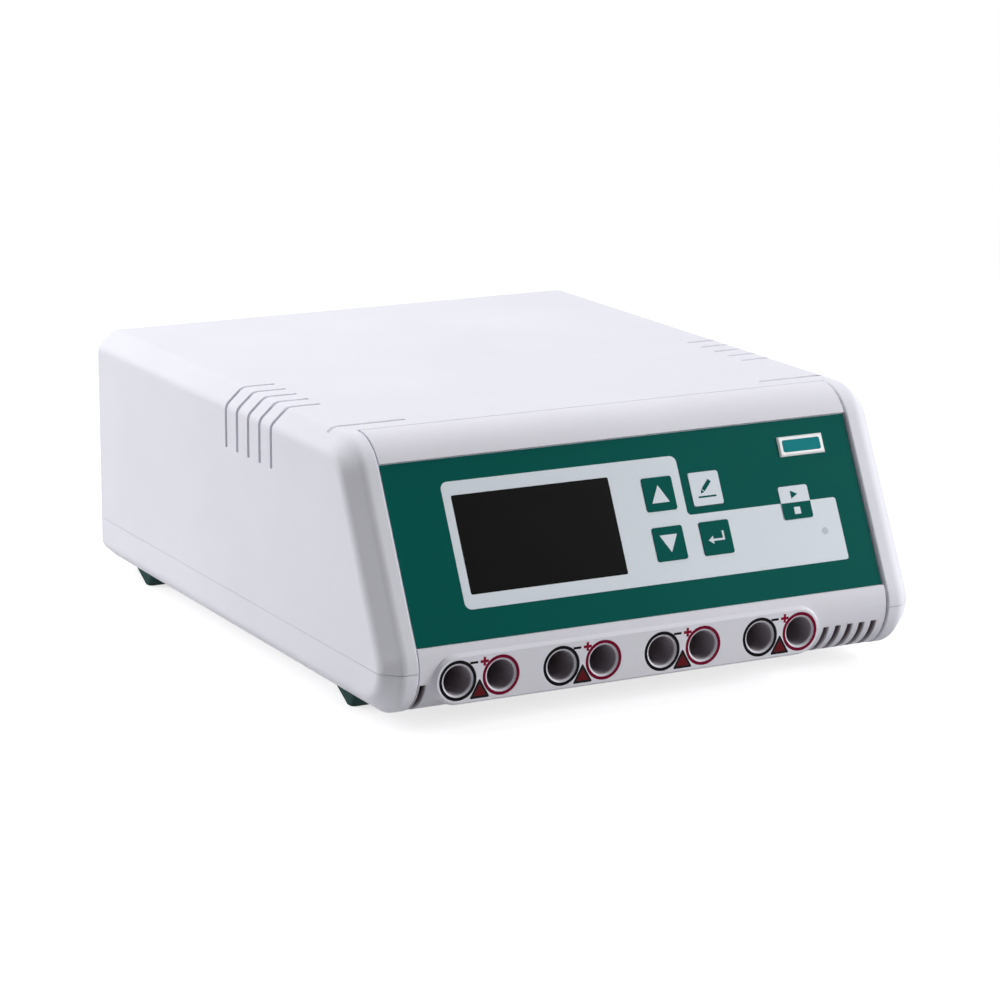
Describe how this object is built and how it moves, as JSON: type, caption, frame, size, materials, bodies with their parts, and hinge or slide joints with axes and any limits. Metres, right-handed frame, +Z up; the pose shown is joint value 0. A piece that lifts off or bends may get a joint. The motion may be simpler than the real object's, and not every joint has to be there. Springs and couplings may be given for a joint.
{
  "type": "electrophoresis power supply",
  "caption": "Bench power supply for gel electrophoresis: grey two-part case, leaning green membrane front with dark display and keys, recessed output sockets in pairs.",
  "frame": {"origin": "on the table, at the middle of the footprint", "axes": "+X along the front to the user's right, +Y from the front to the back, +Z up"},
  "size_m": [0.245, 0.2986, 0.112],
  "materials": {
    "case_grey": "fine spark texture",
    "front_grey": "fine spark texture",
    "membrane_green": "printed polyester film",
    "display_black": "tinted window",
    "module_grey": "moulded frame",
    "board_green": "solder mask",
    "key_light": "printed film",
    "key_green": "printed film",
    "switch_black": "moulded",
    "badge_white": "domed plate",
    "ring_black": "moulded",
    "ring_red": "moulded",
    "well_black": "moulded",
    "brass": "turned and plated",
    "steel": "zinc plated",
    "foot_green": "moulded rubber",
    "rear_paint": "powder coat",
    "black_plastic": "moulded",
    "glass": "clear tube",
    "fan_black": "moulded",
    "lamination": "varnished laminations",
    "winding_tape": "polyester tape",
    "sink_aluminium": "extruded",
    "capacitor_sleeve": "shrink sleeve",
    "relay_blue": "moulded",
    "block_green": "moulded",
    "ribbon_grey": "flat cable",
    "ferrite": "sintered"
  },
  "bodies": {
    "root": {"upper_cover": "case_grey", "lower_tray": "case_grey", "front_bezel": "front_grey", "terminal_panel": "front_grey", "membrane_overlay": "membrane_green", "display_window": "display_black", "lcd_module": "module_grey", "display_board": "board_green", "display_screws": "steel", "key_switches": "switch_black", "badge_plate": "badge_white", "socket_rings_black": "ring_black", "socket_rings_red": "ring_red", "socket_wells": "well_black", "socket_contacts": "brass", "socket_spacers": "steel", "socket_nuts": "steel", "output_board": "board_green", "feet": "foot_green", "foot_screws": "steel", "case_screws": "steel", "rear_panel": "rear_paint", "rear_screws": "steel", "inlet_body": "black_plastic", "inlet_pins": "brass", "rocker_frame": "black_plastic", "fan_frame": "fan_black", "fan_guard": "steel", "fan_screws": "steel", "main_board": "board_green", "board_screws": "steel", "transformer_core": "lamination", "transformer_winding": "winding_tape", "transformer_strap": "steel", "transformer_screws": "steel", "high_voltage_core": "ferrite", "high_voltage_winding": "winding_tape", "heat_sink": "sink_aluminium", "power_transistors": "switch_black", "filter_capacitors": "capacitor_sleeve", "relays": "relay_blue", "terminal_block": "block_green", "ribbon_header": "switch_black", "ribbon_cable": "ribbon_grey"},
    "key_up": {"key_up": "key_green"},
    "key_down": {"key_down": "key_green"},
    "key_edit": {"key_edit": "key_light"},
    "key_enter": {"key_enter": "key_green"},
    "key_run_stop": {"key_run_stop": "key_light"},
    "fuse_drawer": {"fuse_drawer": "black_plastic", "fuses": "glass"},
    "rocker": {"rocker_button": "black_plastic"},
    "rotor": {"fan_rotor": "fan_black"}
  },
  "joints": [
    {"name": "key_up_press", "type": "slide", "parent": "root", "child": "key_up", "axis": [0, 0.8965, -0.4431], "range_m": [0, 0.0005], "stiffness_N_per_m": 400, "springref_m": -0.0006},
    {"name": "key_down_press", "type": "slide", "parent": "root", "child": "key_down", "axis": [0, 0.8965, -0.4431], "range_m": [0, 0.0005], "stiffness_N_per_m": 400, "springref_m": -0.0006},
    {"name": "key_edit_press", "type": "slide", "parent": "root", "child": "key_edit", "axis": [0, 0.8965, -0.4431], "range_m": [0, 0.0005], "stiffness_N_per_m": 400, "springref_m": -0.0006},
    {"name": "key_enter_press", "type": "slide", "parent": "root", "child": "key_enter", "axis": [0, 0.8965, -0.4431], "range_m": [0, 0.0005], "stiffness_N_per_m": 400, "springref_m": -0.0006},
    {"name": "key_run_stop_press", "type": "slide", "parent": "root", "child": "key_run_stop", "axis": [0, 0.8965, -0.4431], "range_m": [0, 0.0005], "stiffness_N_per_m": 400, "springref_m": -0.0006},
    {"name": "fuse_drawer_slide", "type": "slide", "parent": "root", "child": "fuse_drawer", "axis": [0, 1, 0], "range_m": [0, 0.018]},
    {"name": "rocker_tip", "type": "hinge", "parent": "root", "child": "rocker", "pos_m": [-0.03, 0.1418, 0.062], "axis": [0, 0, 1], "range_deg": [0, 18]},
    {"name": "rotor_spin", "type": "hinge", "parent": "root", "child": "rotor", "pos_m": [0.062, 0.1348, 0.06], "axis": [0, 1, 0], "continuous": true}
  ]
}
